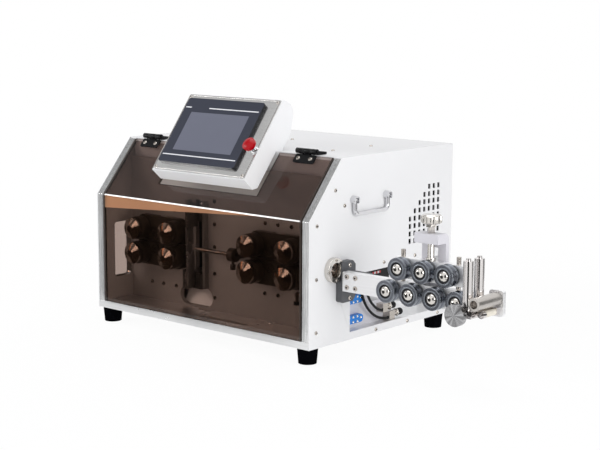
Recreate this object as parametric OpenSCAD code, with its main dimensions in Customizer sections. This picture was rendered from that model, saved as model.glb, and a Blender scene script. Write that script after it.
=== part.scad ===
// Automatic wire cutting and stripping machine with an outboard wire straightener.
// Every piece is a module of its own, drawn in millimetres in one common drawing position:
// X = 0 is the middle of the body, Y = 0 its front face, Z = 0 the underside of the base plate.
// place() then moves the whole machine so that the origin is under its middle, at the floor.

/* [Body] */
// Width over the two side panels
body_w = 550; // [540:2:600]
// Depth from the front face to the back panel
body_d = 428; // [420:2:480]
// Height of the top above the underside of the base plate
body_h = 333; // [328:1:350]
// Height at which the front starts to slope back
front_h = 228; // [222:1:232]
// How far the top front edge is set back
slope_y = 89; // [87:1:95]
// Thickness of the base plate
base_t = 14; // [10:1:18]
// Thickness of the side frame plates
frame_t = 14.5; // [12:0.5:17]
// Sheet thickness of the white panels
sheet_t = 2; // [1.5:0.1:2.5]
// Thickness of the main plate that carries the wheels and blades
plate_t = 10; // [8:0.5:12]
// Height of the rubber feet
foot_h = 28; // [20:1:36]
// Diameter of a foot at its top
foot_d = 38; // [30:1:44]

/* [Wire path] */
// Distance of the wire line behind the front face
wire_y = 54; // [53:0.5:55]
// Height of the wire line above the base underside
wire_z = 136; // [134:1:140]
// Distance between the two wheels of one row
feed_pitch = 93.4; // [90:0.2:96]
// Height between the two wheel rows
row_pitch = 49; // [48:0.5:52]
// Diameter of a feed wheel
wheel_d = 45; // [40:0.5:46]
// Width of a feed wheel
wheel_w = 20; // [16:1:21]
// Diameter of a feed shaft
shaft_d = 14; // [10:1:15]
// Middle of the infeed wheels
in_x = 138.5; // [136:0.5:142]
// Middle of the outfeed wheels
out_x = -164; // [-168:0.5:-162]
// Plane of the blades
blade_x = -70; // [-72:0.5:-68]
// Lift of the upper wheels
lift = 6; // [3:0.5:6]
// Travel of each blade from open to shut
blade_travel = 14; // [10:0.5:15]

/* [Operator panel] */
// Width of the operator box
box_w = 238; // [220:2:244]
// Length of its tilted front
box_len = 173; // [166:1:176]
// Tilt of its front from the horizontal
box_tilt = 52.6; // [50:0.2:56]
// Width of the black bezel
bezel_w = 196; // [180:1:200]
// Height of the black bezel
bezel_h = 143; // [130:1:146]
// Diameter of the stop button head
stop_d = 26; // [22:1:28]
// Press of the stop button
stop_travel = 4; // [2:0.5:5]

/* [Straightener] */
// Diameter of a straightening roller
roller_d = 39; // [36:0.5:40]
// Width of a straightening roller
roller_w = 18; // [16:0.5:20]
// Distance between the rollers of one row
roller_pitch = 48; // [46:0.5:49]
// Height between the roller rows
roller_rows = 41.8; // [41:0.2:44]
// Distance of the first roller from the right panel
first_roller = 130.7; // [126:0.5:140]
// Thickness of the arm that carries the rollers
arm_t = 16; // [14:0.5:18]
// Height of the arm
arm_h = 34.6; // [30:0.2:36]
// Diameter of the adjusting knob
knob_d = 36; // [28:1:40]
// Diameter of a fairlead roller
fair_d = 17; // [14:0.5:18]

/* [Clearances] */
// Gap between pieces that slide past each other
slide_gap = 0.3; // [0.2:0.05:0.5]
// Radial running clearance of a shaft in its hole
run_gap = 0.06; // [0.03:0.01:0.1]
// Gap under the acrylic cover
cover_gap = 0.6; // [0.4:0.1:1.2]
// Gap beside the acrylic cover
side_gap = 2.6; // [1:0.2:4]

/* [Hidden] */
$fn = 64;
// Half widths
half_w = body_w/2;
fx = half_w - sheet_t;
px = fx - frame_t;
// Slope of the front
slope_a = atan2(body_h - front_h, slope_y);
slope_len = sqrt(slope_y*slope_y + (body_h - front_h)*(body_h - front_h));
frame_top_y = slope_y*(body_h - sheet_t - front_h)/(body_h - front_h);
frame_d = slope_y + 19;
back_y = body_d - sheet_t;
plate_y = slope_y - plate_t;
plate_top = body_h - 37;
// Feed units
block_y = wire_y + wheel_w/2 + 2;
block_w = feed_pitch + 31;
block_h = row_pitch/2 + 24;
hole_d = shaft_d + 2*run_gap;
pass_d = shaft_d + 5;
gear_y = slope_y + 48;
nut_y = wire_y - wheel_w/2;
// Blade unit
screw_y = slope_y + 36;
screw_d = 12;
car_h = 30;
car_z = 51;
// Cover and its hinges
cover_t = 5;
cover_x = px - side_gap;
hinge_y = slope_y - 1;
hinge_z = body_h + 6;
hinge_r = 5;
hinge_x = [194, -206];
leaf_w = 48;
cover_top = slope_y - 1.3;
// Operator box
box_y = slope_y - 87;
box_z = body_h - 45;
ct = cos(box_tilt);
st = sin(box_tilt);
top_y = box_y + box_len*ct;
top_z = box_z + box_len*st;
box_r = 28;
box_x = box_w/2;
wall = 2;
bezel_x = -10;
stop_x = box_x - 8;
stop_v = 63;
stop_hole = 11;
stem_d = 8;
// Notch in the cover: it swings clear of the lower front corner of the operator box
reach = sqrt((hinge_y - box_y)*(hinge_y - box_y) + (hinge_z - box_z)*(hinge_z - box_z)) + 2.6;
na = hinge_y*cos(slope_a) + (hinge_z - front_h)*sin(slope_a);
nb = hinge_y*hinge_y + (hinge_z - front_h)*(hinge_z - front_h);
notch_s = na - sqrt(na*na - nb + reach*reach);
notch_x = box_x + 9;
// Straightener
lower_z = wire_z - 18.4;
upper_z = lower_z + roller_rows;
arm_y = wire_y + roller_w/2 + 2;
arm_back = arm_y + arm_t;
pin_y = arm_y + arm_t/2;
first_x = half_w + first_roller;
mid_x = first_x + 1.5*roller_pitch + 2.8;
arm_x0 = half_w + 22;
bracket_t = 14;
arm_x1 = first_x + 3*roller_pitch + 16.3;
slide_x0 = first_x + 5.3;
slide_x1 = first_x + 3*roller_pitch + 3.3;
slide_h = 35.6;
slide_z = upper_z - 18;
slide_top = slide_z + slide_h;
beam_z = slide_top + 30.5;
beam_t = 17;
gantry_w = 50;
guide_x = 57;
core_d = 24;
bolt_d = 10;
head_d = 18;
guide_d = 8;
adj_d = 12;
arm_grip = arm_t - 4.4;
bar_grip = arm_t/2 - guide_d/2 - 1;
// Fairlead
fair_x = arm_x1 + 14;
fair_s = 16;
base_z = lower_z - 17.6;
tube_d = 22;
tube_x = fair_x + fair_d/2 + tube_d/2 + 1;
tube_z = wire_z - 10;
tube_y0 = wire_y - 29;
tube_y1 = wire_y + 37;
fair_y0 = wire_y - 24;
fair_y1 = wire_y + 38;
fair_back = fair_y1 + 8;
clamp_x = arm_x1 + 5;
// Handles
boss_d = 15;
boss_l = 11.5;
boss_y = [118.7, 214.5];
boss_z = body_h - 77.5;
bail_d = 8;
bail_x = half_w + 5.6;
bail_drop = 26;
bail_r = 9;
pin_d = 4;
// Valve bay behind the right panel
bay_x = half_w - 53;
bay_y0 = frame_d + 4;
bay_y1 = body_d - 36;
bay_z1 = base_t + 126;
rack_x = half_w - 23;
tube_c = [238, 104];
// Inlet bush
bush_d = 45;
bush_bore = 27;
bush_tail = 30;
bush_y = min(wire_y + 9, plate_y - bush_tail/2 - 1);
bush_hole = bush_tail + 0.6;
bush_out = 10;
// Extents of the whole machine, for the origin
ext_x0 = -half_w - boss_l;
ext_x1 = tube_x + tube_d/2 + 1.5;
ext_y1 = body_d + 2.2;

// Moves the drawing position to the common origin
module place() {
  translate([-(ext_x0 + ext_x1)/2, -ext_y1/2, foot_h]) children();
}

// Cylinder along X, Y or Z between two values
module cx(d, a, b) {
  translate([a, 0, 0]) rotate([0, 90, 0]) cylinder(d=d, h=b - a);
}
module cy(d, a, b) {
  translate([0, b, 0]) rotate([90, 0, 0]) cylinder(d=d, h=b - a);
}
module cz(d, a, b) {
  translate([0, 0, a]) cylinder(d=d, h=b - a);
}

// Box between two corners
module box(a, b) {
  translate(a) cube(b - a);
}

// Flat outline in Y and Z pulled along X, and in X and Z pulled along Y
module yz(a, b) {
  translate([a, 0, 0]) rotate([90, 0, 90]) linear_extrude(b - a) children();
}
module xz(a, b) {
  translate([0, b, 0]) rotate([90, 0, 0]) linear_extrude(b - a) children();
}

// Rectangle with round corners, from corner to corner
module round_rect(a, b, r) {
  translate([a[0] + r, a[1]]) square([b[0] - a[0] - 2*r, b[1] - a[1]]);
  translate([a[0], a[1] + r]) square([b[0] - a[0], b[1] - a[1] - 2*r]);
  for (x = [a[0] + r, b[0] - r], y = [a[1] + r, b[1] - r]) translate([x, y]) circle(r);
}

// Round-headed socket screw seated on a face, its head pointing along +Z
module screw(d=7) {
  difference() {
    union() {
      cylinder(d=d, h=1);
      translate([0, 0, 1]) cylinder(d1=d, d2=d*0.62, h=1.2);
    }
    translate([0, 0, 0.9]) cylinder(d=d*0.45, h=2, $fn=6);
  }
}
module screw_px(y, z, x, d=7) {
  translate([x, y, z]) rotate([0, 90, 0]) screw(d);
}
module screw_nx(y, z, x, d=7) {
  translate([x, y, z]) rotate([0, -90, 0]) screw(d);
}
module screw_ny(x, z, y, d=7) {
  translate([x, y, z]) rotate([90, 0, 0]) screw(d);
}
module screw_py(x, z, y, d=7) {
  translate([x, y, z]) rotate([-90, 0, 0]) screw(d);
}

// Local positions: on the slope, and on the tilted front of the operator box
module on_slope() {
  translate([0, 0, front_h]) rotate([slope_a, 0, 0]) children();
}
module on_box() {
  translate([0, box_y, box_z]) rotate([box_tilt, 0, 0]) children();
}

module base_plate() color("silver") {
  difference() {
    box([-fx, 0, 0], [fx, back_y, base_t]);
    translate([in_x - 112, wire_y - 26, -1]) linear_extrude(base_t + 2)
      round_rect([-56, 0], [70, 14], 6);
  }
}

module side_frames() color("silver") {
  difference() {
    yz(px, fx) frame_outline();
    translate([0, bush_y, wire_z]) cx(bush_hole, px - 1, fx + 1);
  }
  difference() {
    yz(-fx, -px) frame_outline();
    yz(-fx - 1, -px + 1) outlet();
  }
  box([fx - 16, back_y - 16, base_t], [fx, back_y, body_h - sheet_t]);
  box([-fx, back_y - 16, base_t], [-fx + 16, back_y, body_h - sheet_t]);
}
module frame_outline() {
  polygon([[0, base_t], [0, front_h], [frame_top_y, body_h - sheet_t],
    [frame_d, body_h - sheet_t], [frame_d, base_t]]);
}
module outlet() {
  round_rect([wire_y - 22, wire_z - 78], [wire_y + 22, wire_z + 32], 6);
}

module main_plate() color("dimgray") {
  difference() {
    box([-px, plate_y, base_t], [px, slope_y, plate_top]);
    xz(plate_y - 1, slope_y + 1) {
      for (c = [in_x, out_x], s = [-1, 1]) {
        translate([c + s*feed_pitch/2, wire_z - row_pitch/2]) circle(d=pass_d);
        translate([c + s*feed_pitch/2, wire_z + row_pitch/2]) circle(d=pass_d);
        translate([c + s*feed_pitch/2, wire_z + row_pitch/2 + lift]) circle(d=pass_d);
        translate([c + s*feed_pitch/2 - pass_d/2, wire_z + row_pitch/2])
          square([pass_d, lift]);
      }
      round_rect([blade_x - 9, wire_z - 78], [blade_x + 9, wire_z + 90], 4);
      round_rect([blade_x - 52, wire_z - 118], [blade_x + 36, wire_z - 81], 18.4);
    }
  }
}

module top_cover() color("white") {
  box([-fx, slope_y, body_h - sheet_t], [fx, back_y, body_h]);
  box([-px, slope_y, plate_top - 6], [px, slope_y + sheet_t, body_h - sheet_t/2]);
}

module side_outline() {
  polygon([[0, 0], [0, front_h], [slope_y, body_h], [body_d, body_h], [body_d, 0]]);
}
module vents() {
  counts = [4, 5, 6, 7, 8, 8, 8];
  for (c = [0:6], r = [0:7]) if (r < counts[c])
    translate([body_d - 135.5 + 15*c - 3.75, body_h - 180 + 14.1*r]) square([7.5, 9.5]);
}

module right_panel() color("white") {
  difference() {
    union() {
      yz(fx, half_w) side_outline();
      difference() {
        box([bay_x, bay_y0, base_t], [fx + 0.5, bay_y1, bay_z1]);
        box([bay_x + sheet_t, bay_y0 + sheet_t, base_t - 1],
          [fx + 1, bay_y1 - sheet_t, bay_z1 - sheet_t]);
      }
    }
    yz(fx - 1, half_w + 1) {
      translate([bay_y0 + sheet_t, base_t]) square([bay_y1 - bay_y0 - 2*sheet_t, 104]);
      vents();
      translate([bush_y, wire_z]) circle(d=bush_hole);
    }
  }
}

module left_panel() color("white") {
  yz(-half_w, -fx) difference() {
    side_outline();
    vents();
    outlet();
  }
}

module rear_panel() color("white") {
  xz(back_y, body_d) difference() {
    translate([-fx, 0]) square([2*fx, body_h]);
    for (c = [0:9], r = [0:5]) translate([-70 + 15*c, body_h - 120 + 14.1*r])
      square([7.5, 9.5]);
    translate([-180, 60]) square([28, 21]);
    translate([-120, 70]) circle(d=10);
  }
}

module rubber_feet() color("black") {
  inset = foot_d/2 + 0.5;
  for (x = [-1, 1], y = [inset, body_d - 28]) translate([x*(half_w - inset), y, -foot_h])
    cylinder(d1=foot_d*0.87, d2=foot_d, h=foot_h);
}

module panel_screws() color("silver") {
  for (p = [[70, body_h - 56], [96, body_h - 86], [20, front_h - 9], [19, wire_z - 12],
    [19, 29], [309, wire_z - 7], [213, wire_z - 7], [191, 5.5], [288, 5.5], [386, 5.5]]) {
    screw_px(p[0], p[1], half_w);
    if (p[1] > 8) screw_nx(p[0], p[1], -half_w);
  }
  for (p = [[188, 168], [191, 278], [0, 270], [-188, 168], [-191, 278]])
    translate([p[0], p[1], body_h]) screw();
  for (c = [out_x, in_x]) for (x = [-36, -5, 28])
    screw_ny(c + x, wire_z + 63.5, plate_y, 8);
  for (x = [-37, -5, 31]) screw_ny(out_x + x, wire_z - 86.5, plate_y, 8);
  for (x = [-37, -4]) screw_ny(in_x + x, wire_z - 69, plate_y, 8);
  for (z = [90, 47, 3, -49, -96]) screw_ny(blade_x + 42, wire_z + z, plate_y, 8);
  on_box() for (x = [-1, 1], v = [7.5, box_len - 7.5])
    translate([x*(box_x - 7.5), v, 1.5]) screw(6.5);
  for (x = [10, 28.5], z = [-9.4, 9.4]) screw_ny(arm_x0 + x, lower_z + z, arm_y, 9);
  for (z = [24.5, -35.5]) screw_px(arm_back + 14, lower_z + z, half_w + bracket_t, 8);
  for (x = [-1, 1], z = [30, body_h/2 + 3, body_h - 23])
    screw_py(x*(half_w - 35), z, body_d);
  for (a = [90, 180, 270])
    screw_px(bush_y + 18*cos(a), wire_z + 18*sin(a), half_w + bush_out, 4.5);
}

// Operator box, its plate, the touch panel and the stop button
module box_outline() {
  polygon([[box_y, box_z], [slope_y - 65, body_h - 64.5], [slope_y - 51.5, body_h - 63],
    [slope_y - 0.6, body_h], [slope_y + 17, body_h], [slope_y + 40, body_h + 31],
    [top_y + 1 + box_r, top_z - box_r], [top_y + 1, top_z - box_r], [top_y + 1, top_z],
    [top_y, top_z]]);
  intersection() {
    translate([top_y + 1, top_z - box_r]) circle(box_r);
    translate([top_y + 1, top_z - box_r]) square(box_r + 1);
  }
}
module box_hollow() {
  polygon([[box_y + 2.5*ct - st, box_z + 2.5*st + ct], [slope_y - 64.3, body_h - 62.4],
    [slope_y - 52.5, body_h - 61.1], [slope_y - 1.5, body_h + 2], [slope_y + 16, body_h + 2],
    [slope_y + 38.1, body_h + 31.8], [top_y - 1 + box_r, top_z - box_r],
    [top_y + 1, top_z - box_r], [top_y + 1, top_z - 2],
    [top_y - 2.4*ct - st, top_z - 2.4*st + ct]]);
  intersection() {
    translate([top_y + 1, top_z - box_r]) circle(box_r - 2);
    translate([top_y + 1, top_z - box_r]) square(box_r + 1);
  }
}
module operator_box() color("white") {
  difference() {
    yz(-box_x, box_x) box_outline();
    yz(-box_x + wall, box_x - wall) box_hollow();
  }
}
module operator_plate() color("lightgray") {
  on_box() difference() {
    linear_extrude(1.5) round_rect([-box_x + 1, 1.5], [box_x - 1, box_len - 1.5], 3);
    box([bezel_x - bezel_w/2 + 7.5, 24.5, -1], [bezel_x + bezel_w/2 - 7.5, bezel_h + 9.5, 3]);
    translate([stop_x, stop_v, -1]) cylinder(d=stop_hole, h=4);
  }
}
module touch_panel() color("darkslategray") {
  on_box() {
    difference() {
      union() {
        translate([0, 0, 1.5]) linear_extrude(6)
          round_rect([bezel_x - bezel_w/2, 17], [bezel_x + bezel_w/2, bezel_h + 17], 5);
        box([bezel_x - bezel_w/2 + 8, 25, -28], [bezel_x + bezel_w/2 - 8, bezel_h + 9, 2]);
      }
      box([bezel_x - 75, bezel_h/2 - 27.5, 6.3], [bezel_x + 75, bezel_h/2 + 57.5, 9]);
    }
    box([bezel_x - 74.9, bezel_h/2 - 27.4, 6.3], [bezel_x + 74.9, bezel_h/2 + 57.4, 7.3]);
  }
}
module on_stop() {
  on_box() translate([stop_x, stop_v, 0]) children();
}
module stop_collar() color("silver") {
  on_stop() difference() {
    union() {
      cz(14, 1.5, 5);
      cz(12, 5, 8);
      cz(stop_hole - 0.2, -1, 2);
      box([-14, -14, -24], [5.5, 14, -0.5]);
    }
    cz(stem_d + 2*run_gap, -9 - stop_travel, 9);
  }
}
module stop_button() color("red") {
  on_stop() {
    cz(stem_d, -8, 15);
    translate([0, 0, 13.5]) cylinder(d1=13, d2=stop_d, h=3.5);
    cz(stop_d, 17, 23);
    intersection() {
      translate([0, 0, 23 - sqrt(400 - stop_d*stop_d/4)]) sphere(20);
      cz(stop_d, 23, 31);
    }
  }
}

// Acrylic cover and its two hinges
module front_cover() color("saddlebrown") {
  ta = tan(slope_a);
  zi = front_h - cover_t*tan((90 - slope_a)/2);
  ztop = front_h + cover_top*ta;
  difference() {
    yz(-cover_x, cover_x) polygon([[0, base_t + cover_gap], [0, front_h], [cover_top, ztop],
      [cover_top, ztop - cover_t/cos(slope_a)], [cover_t, zi],
      [cover_t, base_t + cover_gap]]);
    on_slope() box([-notch_x, notch_s, -cover_t - 3], [notch_x, slope_len + 20, 5]);
  }
}
module hinge_bases() color("black") {
  for (h = hinge_x) translate([h, 0, 0]) {
    difference() {
      union() {
        box([-leaf_w/2, hinge_y + 6, body_h], [leaf_w/2, hinge_y + 24, body_h + 2.5]);
        for (s = [-1, 1]) translate([s*16.6, 0, 0]) {
          translate([0, hinge_y, hinge_z]) cx(2*hinge_r, -7.4, 7.4);
          box([-7.4, hinge_y, body_h + 1], [7.4, hinge_y + 7, body_h + 4]);
        }
      }
      translate([0, hinge_y, hinge_z]) cx(5.04, -30, 30);
    }
    translate([0, hinge_y, hinge_z]) cx(5, -leaf_w/2, leaf_w/2 + 20);
  }
}
module cover_hinges() color("black") {
  sa = hinge_y*cos(slope_a) + (hinge_z - front_h)*sin(slope_a);
  wa = -hinge_y*sin(slope_a) + (hinge_z - front_h)*cos(slope_a);
  for (h = hinge_x) translate([h, 0, 0]) on_slope() {
    difference() {
      union() {
        linear_extrude(2.5) round_rect([-leaf_w/2, sa - 24], [leaf_w/2, sa - 5.8], 2);
        box([-8.9, sa - 8, 0], [8.9, sa, 2.5]);
        translate([0, sa, wa]) cx(2*hinge_r, -8.9, 8.9);
      }
      translate([0, sa, wa]) cx(5 + 2*run_gap, -10, 10);
    }
    for (x = [-14.5, 14.5]) translate([x, sa - 15, 2.5]) screw(8);
  }
}

// Feed units: blocks, rails, wheels, closed gear housings and motors
module block_outline() {
  r = 13;
  translate([-block_w/2, 0]) square([block_w, block_h - r]);
  translate([-block_w/2 + r, 0]) square([block_w - 2*r, block_h]);
  for (s = [-1, 1]) translate([s*(block_w/2 - r), block_h - r]) circle(r);
}
module feed_block(y1, groove) {
  zc = row_pitch/2 - 1;
  difference() {
    xz(block_y, y1) block_outline();
    for (s = [-1, 1]) translate([s*feed_pitch/2, 0, zc]) cy(hole_d, block_y - 1, y1 + 1);
    for (s = [-1, 1]) translate([s*14, 0, zc - 8.5]) cy(20, block_y - 1, block_y + 3.5);
    if (groove) box([-10 - slide_gap, block_y + 4.4, -1],
      [10 + slide_gap, y1 + 1, block_h + 1]);
  }
  for (s = [-1, 1]) translate([s*14, 0, zc - 8.5]) difference() {
    cy(16, block_y + 0.4, block_y + 3.5);
    translate([0, block_y + 2.4, 0]) rotate([90, 0, 0]) cylinder(d=8, h=4, $fn=6);
  }
}
module upper_block(c) {
  translate([c, 0, wire_z + 1]) feed_block(plate_y - slide_gap, true);
}
module lower_feed_blocks() color("black") {
  for (c = [in_x, out_x]) translate([c, 0, wire_z - 1]) mirror([0, 0, 1])
    feed_block(plate_y, false);
}
module infeed_upper_block() color("black") upper_block(in_x);
module outfeed_upper_block() color("black") upper_block(out_x);

module slide_rails() color("silver") {
  for (c = [in_x, out_x])
    box([c - 10, block_y + 4.4 + slide_gap, wire_z + 5], [c + 10, plate_y, wire_z + 47]);
  for (s = [-1, 1]) translate([blade_x + s*(22 + slide_gap), 0, 0])
    box([-3, block_y + 2, wire_z - 80], [3, plate_y, wire_z + 88]);
}

module feed_wheel(x, z) {
  translate([x, 0, z]) {
    color("gray") difference() {
      union() {
        cy(wheel_d, nut_y + 1.5, nut_y + wheel_w - 1.5);
        cy(wheel_d - 3, nut_y, nut_y + wheel_w);
      }
      cy(shaft_d + 0.04, nut_y - 1, nut_y + wheel_w + 1);
    }
    color("silver") {
      cy(shaft_d, nut_y, slope_y + 31);
      cy(shaft_d + 6, nut_y + wheel_w, nut_y + wheel_w + 1.5);
      cy(9, nut_y - 12, nut_y + 1);
    }
    color("silver") difference() {
      union() {
        cy(34, nut_y - 8, nut_y);
        cy(42, nut_y - 11, nut_y - 7);
        translate([0, nut_y - 11, 0]) rotate([90, 0, 0]) cylinder(d1=42, d2=14, h=6);
      }
      cy(9.04, nut_y - 13, nut_y + 1);
      translate([0, nut_y - 15, 0]) rotate([90, 0, 0]) cylinder(d=8, h=10, $fn=6);
    }
  }
}
module infeed_wheel_la() feed_wheel(in_x - feed_pitch/2, wire_z - row_pitch/2);
module infeed_wheel_lb() feed_wheel(in_x + feed_pitch/2, wire_z - row_pitch/2);
module infeed_wheel_ua() feed_wheel(in_x - feed_pitch/2, wire_z + row_pitch/2);
module infeed_wheel_ub() feed_wheel(in_x + feed_pitch/2, wire_z + row_pitch/2);
module outfeed_wheel_la() feed_wheel(out_x - feed_pitch/2, wire_z - row_pitch/2);
module outfeed_wheel_lb() feed_wheel(out_x + feed_pitch/2, wire_z - row_pitch/2);
module outfeed_wheel_ua() feed_wheel(out_x - feed_pitch/2, wire_z + row_pitch/2);
module outfeed_wheel_ub() feed_wheel(out_x + feed_pitch/2, wire_z + row_pitch/2);

module drive_housings() color("gray") {
  for (c = [in_x, out_x]) translate([c, 0, wire_z]) difference() {
    box([-62, slope_y, -50], [62, gear_y, 50]);
    box([-58, slope_y - 1, -46], [58, gear_y - 4, 46]);
    cy(14, gear_y - 5, gear_y + 1);
  }
  difference() {
    box([blade_x - 35, slope_y, wire_z + 100], [blade_x + 35, screw_y + 34, wire_z + 108]);
    translate([blade_x, screw_y, 0]) cz(screw_d + 2*run_gap, wire_z + 99, wire_z + 109);
  }
  difference() {
    box([blade_x - 20, screw_y - 20, base_t], [blade_x + 20, screw_y + 20, base_t + 20]);
    translate([blade_x, screw_y, 0]) cz(screw_d + 2*run_gap, base_t + 4, base_t + 21);
  }
  yz(blade_x - 52, blade_x + 36) polygon([[slope_y, base_t], [slope_y + 2.5, base_t],
    [slope_y + 20, base_t + 34], [slope_y + 17.5, base_t + 34]]);
}
module drive_motors() color("dimgray") {
  for (c = [in_x, out_x]) translate([c, 0, wire_z]) {
    box([-43, gear_y, -43], [43, gear_y + 90, 43]);
    cy(12, gear_y - 18, gear_y + 1);
  }
  difference() {
    box([blade_x - 28, screw_y - 28, wire_z + 108], [blade_x + 28, screw_y + 28, wire_z + 176]);
    translate([blade_x, screw_y, 0]) cz(screw_d + 1, wire_z + 107, wire_z + 126);
  }
}

// Blade unit: two carriers driven by one vertical screw with opposite threads
module carrier() {
  box([-19, block_y, car_z], [19, plate_y - slide_gap, car_z + car_h]);
  difference() {
    box([-8, plate_y - 1, car_z + 2], [8, screw_y + 10, car_z + 24]);
    translate([0, screw_y, 0]) cz(screw_d + 2*run_gap, car_z + 1, car_z + 25);
  }
}
module blade_set() {
  color("silver") difference() {
    box([-2.2, wire_y - 10, blade_travel - 8], [-0.2, block_y - 2, 75]);
    yz(-3, 1) polygon([[wire_y - 8, blade_travel - 9], [wire_y + 8, blade_travel - 9],
      [wire_y, blade_travel]]);
  }
  color("dimgray") box([-0.2, wire_y - 10, 42], [10, block_y, 79]);
  translate([5, wire_y - 10, 70]) rotate([90, 0, 0]) screw(7);
  translate([5, wire_y - 10, 52]) rotate([90, 0, 0]) screw(7);
}
module upper_blade_carrier() {
  translate([blade_x, 0, wire_z]) {
    color("dimgray") carrier();
    blade_set();
  }
}
module lower_blade_carrier() {
  translate([blade_x, 0, wire_z]) mirror([0, 0, 1]) {
    color("dimgray") carrier();
    mirror([1, 0, 0]) blade_set();
  }
}
module blade_screw() color("silver") {
  translate([blade_x, screw_y, 0]) cz(screw_d, base_t + 4.3, wire_z + 124);
}

module wire_guide() {
  color("silver") translate([0, wire_y, wire_z]) difference() {
    cx(8, blade_x + 15, in_x - 91);
    cx(5, blade_x + 14, in_x - 90);
  }
  color("black") difference() {
    union() {
      translate([0, wire_y, wire_z]) cx(26, in_x - 101, in_x - 87);
      box([in_x - 100, wire_y, wire_z - 8], [in_x - 88, plate_y, wire_z + 8]);
    }
    translate([0, wire_y, wire_z]) cx(8.04, in_x - 102, in_x - 91);
    translate([0, wire_y, wire_z]) cx(6, in_x - 92, in_x - 86);
    translate([in_x - 95, wire_y, 0]) cz(6.04, wire_z - 15, wire_z - 5);
  }
  color("silver") translate([in_x - 95, wire_y, 0]) {
    cz(6, wire_z - 18, wire_z - 5);
    cz(11, wire_z - 28, wire_z - 18);
  }
}

module inlet_bush() color("silver") {
  translate([0, bush_y, wire_z]) difference() {
    union() {
      cx(bush_d, half_w, half_w + bush_out);
      cx(bush_tail, px - 14, half_w + 1);
    }
    cx(bush_bore, px - 15, half_w + bush_out + 1);
  }
}

// Drop handles
module handle_bosses() color("silver") {
  for (m = [0, 1], y = boss_y) mirror([m, 0, 0]) translate([0, y, boss_z]) difference() {
    cx(boss_d, half_w, half_w + boss_l);
    box([half_w + 1, -bail_d/2 - slide_gap, -boss_d],
      [half_w + boss_l + 1, bail_d/2 + slide_gap, bail_d/2 + slide_gap]);
    translate([bail_x, 0, 0]) cy(pin_d + 2*run_gap, -7, 7);
  }
}
module bail() {
  l = boss_y[1] - boss_y[0];
  translate([bail_x, boss_y[0], boss_z]) {
    for (s = [0, l]) translate([0, s, 0]) {
      cy(pin_d, -6.4, 6.4);
      cy(bail_d, -bail_d/2, bail_d/2);
      cz(bail_d, -bail_drop + bail_r, 0);
    }
    translate([0, 0, -bail_drop]) cy(bail_d, bail_r, l - bail_r);
    translate([0, bail_r, -bail_drop + bail_r]) rotate([0, 90, 0])
      rotate([0, 0, -90]) rotate_extrude(angle=90) translate([bail_r, 0]) circle(d=bail_d);
    translate([0, l - bail_r, -bail_drop + bail_r]) rotate([0, 90, 0])
      rotate([0, 0, 0]) rotate_extrude(angle=90) translate([bail_r, 0]) circle(d=bail_d);
  }
}
module right_handle() color("silver") bail();
module left_handle() color("silver") mirror([1, 0, 0]) bail();

// Straightener
module straightener_bracket() color("dimgray") {
  difference() {
    union() {
      translate([0, arm_y + 8.5, lower_z]) yz(half_w, half_w + bracket_t) polygon([[0, -39],
        [3, -42], [31.5, -42], [38.5, -35], [38.5, 25], [31.5, 32], [3, 32], [0, 29]]);
      box([half_w + 6, arm_back, lower_z - arm_h/2],
        [half_w + 70, arm_back + 10, lower_z + arm_h/2]);
    }
    translate([0, bush_y, wire_z]) cx(bush_d + 2, half_w - 1, half_w + bush_out + 1);
  }
}
module straightener_arm() color("lightgray") {
  difference() {
    box([arm_x0, arm_y, lower_z - arm_h/2], [arm_x1, arm_back, lower_z + arm_h/2]);
    for (i = [0:3]) translate([first_x + i*roller_pitch, 0, lower_z])
      cy(bolt_d + 0.04, arm_y - 1, arm_y + arm_grip + 0.3);
    for (s = [-1, 1]) translate([mid_x + s*guide_x, pin_y, 0])
      cz(guide_d + 0.04, lower_z - 8, lower_z + 20);
  }
}
module straightener_gantry() color("lightgray") {
  difference() {
    union() {
      yz(mid_x - gantry_w/2, mid_x + gantry_w/2) gantry_side();
    }
    xz(arm_back - 1, arm_back + 12)
      translate([mid_x - 9, lower_z + arm_h/2 + 8]) square([18, beam_z - lower_z - 34]);
    translate([mid_x, pin_y, 0]) cz(adj_d + 2*run_gap, beam_z - 1, beam_z + beam_t + 1);
  }
}
module gantry_side() {
  zt = beam_z + beam_t;
  translate([arm_back, lower_z - arm_h/2]) square([9, zt - lower_z + arm_h/2 - 10]);
  translate([arm_y - 7, beam_z]) square([arm_t + 6, beam_t]);
  intersection() {
    translate([arm_back - 1, zt - 10]) circle(10);
    translate([arm_back - 1.02, zt - 10.02]) square(11);
  }
  translate([arm_back - 1, beam_z]) square([10, beam_t - 10]);
}
module core_bolt(x, z, grip) {
  translate([x, 0, z]) {
    color("black") difference() {
      cy(core_d, arm_y - roller_w - 1.4, arm_y);
      cy(bolt_d + 0.04, arm_y - roller_w - 2, arm_y + 1);
    }
    color("silver") {
      cy(bolt_d, arm_y - roller_w - 1.4, arm_y + grip);
      difference() {
        intersection() {
          cy(head_d, arm_y - roller_w - 6.6, arm_y - roller_w - 1.4);
          translate([0, arm_y - roller_w + 4.2, 0]) sphere(10.8);
        }
        translate([0, arm_y - roller_w - 4, 0]) rotate([90, 0, 0])
          cylinder(d=6.5, h=6, $fn=6);
      }
    }
  }
}
module straightener_pins() {
  for (i = [0:3]) core_bolt(first_x + i*roller_pitch, lower_z, arm_grip);
  color("silver") for (s = [-1, 1]) translate([mid_x + s*guide_x, pin_y, 0])
    cz(guide_d, lower_z - 7.6, slide_top + 13);
}
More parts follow.
